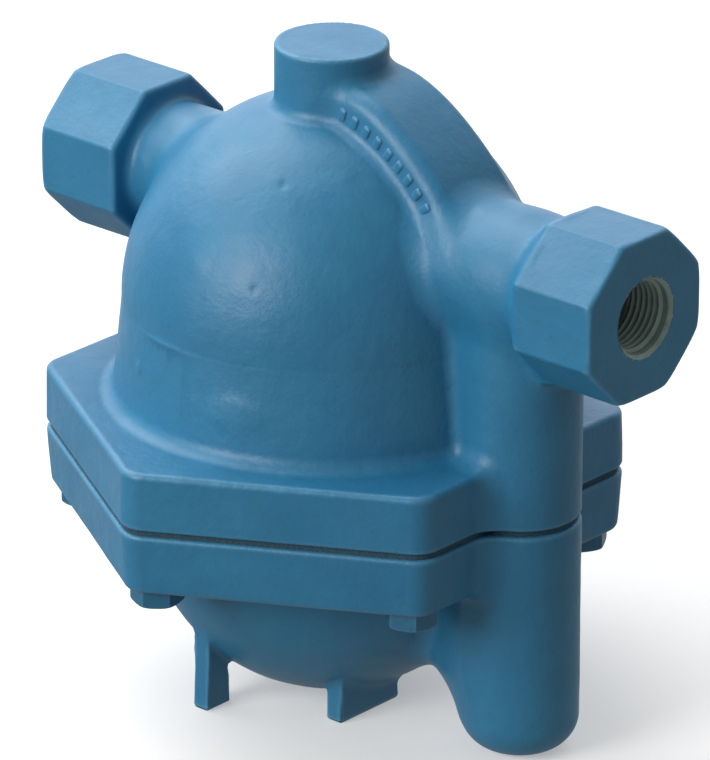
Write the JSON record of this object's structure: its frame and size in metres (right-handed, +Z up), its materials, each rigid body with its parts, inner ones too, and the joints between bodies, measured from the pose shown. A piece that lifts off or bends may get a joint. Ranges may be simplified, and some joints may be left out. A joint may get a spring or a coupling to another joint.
{
  "type": "inverted bucket steam trap",
  "caption": "In-line inverted bucket steam trap: domed casting with octagon pipe ports, bolted bowl cover, side inlet column, sealed bucket and lever valve.",
  "frame": {"origin": "middle of the footprint, on the plane the feet and the column stand on", "axes": "+X along the pipe from outlet to inlet, +Y across the pipe, +Z up"},
  "size_m": [0.197, 0.1596, 0.1838],
  "materials": {
    "blue_paint": "satin blue enamel on a sand casting",
    "blue_paint_bolts": "satin blue enamel on steel bolts",
    "gasket": "dark compressed fibre",
    "stainless": "satin stainless",
    "hard_steel": "ground and polished",
    "soft_iron": "matte soft iron",
    "bucket_steel": "drawn stainless sheet",
    "bucket_weight": "plain iron ring"
  },
  "bodies": {
    "casing": {"body": "blue_paint", "cover": "blue_paint", "cover_gasket": "gasket", "cover_bolts": "blue_paint_bolts", "valve_seat": "stainless", "seat_gasket": "soft_iron", "lever_bracket": "stainless", "bracket_screws": "stainless", "bracket_washers": "stainless", "pivot_pin": "stainless", "pivot_clips": "stainless", "inlet_tube": "stainless"},
    "lever": {"valve_lever": "stainless", "valve_plug": "hard_steel", "plug_retainer": "stainless", "hanger_pin": "stainless"},
    "bucket_unit": {"bucket": "bucket_steel", "bucket_weight": "bucket_weight", "bucket_hanger": "stainless", "hanger_screw": "stainless", "hanger_nut": "stainless"}
  },
  "joints": [
    {"name": "lever_pivot", "type": "hinge", "parent": "casing", "child": "lever", "pos_m": [-0.035, 0, 0.135], "axis": [0, -1, 0], "range_deg": [0, 14]},
    {"name": "bucket_hang", "type": "hinge", "parent": "lever", "child": "bucket_unit", "pos_m": [-0.01171, 0, 0.12919], "axis": [0, -1, 0], "range_deg": [-14, 0]}
  ],
  "couplings": [
    {"joint": "bucket_hang", "follows": "lever_pivot", "ratio": -1}
  ]
}
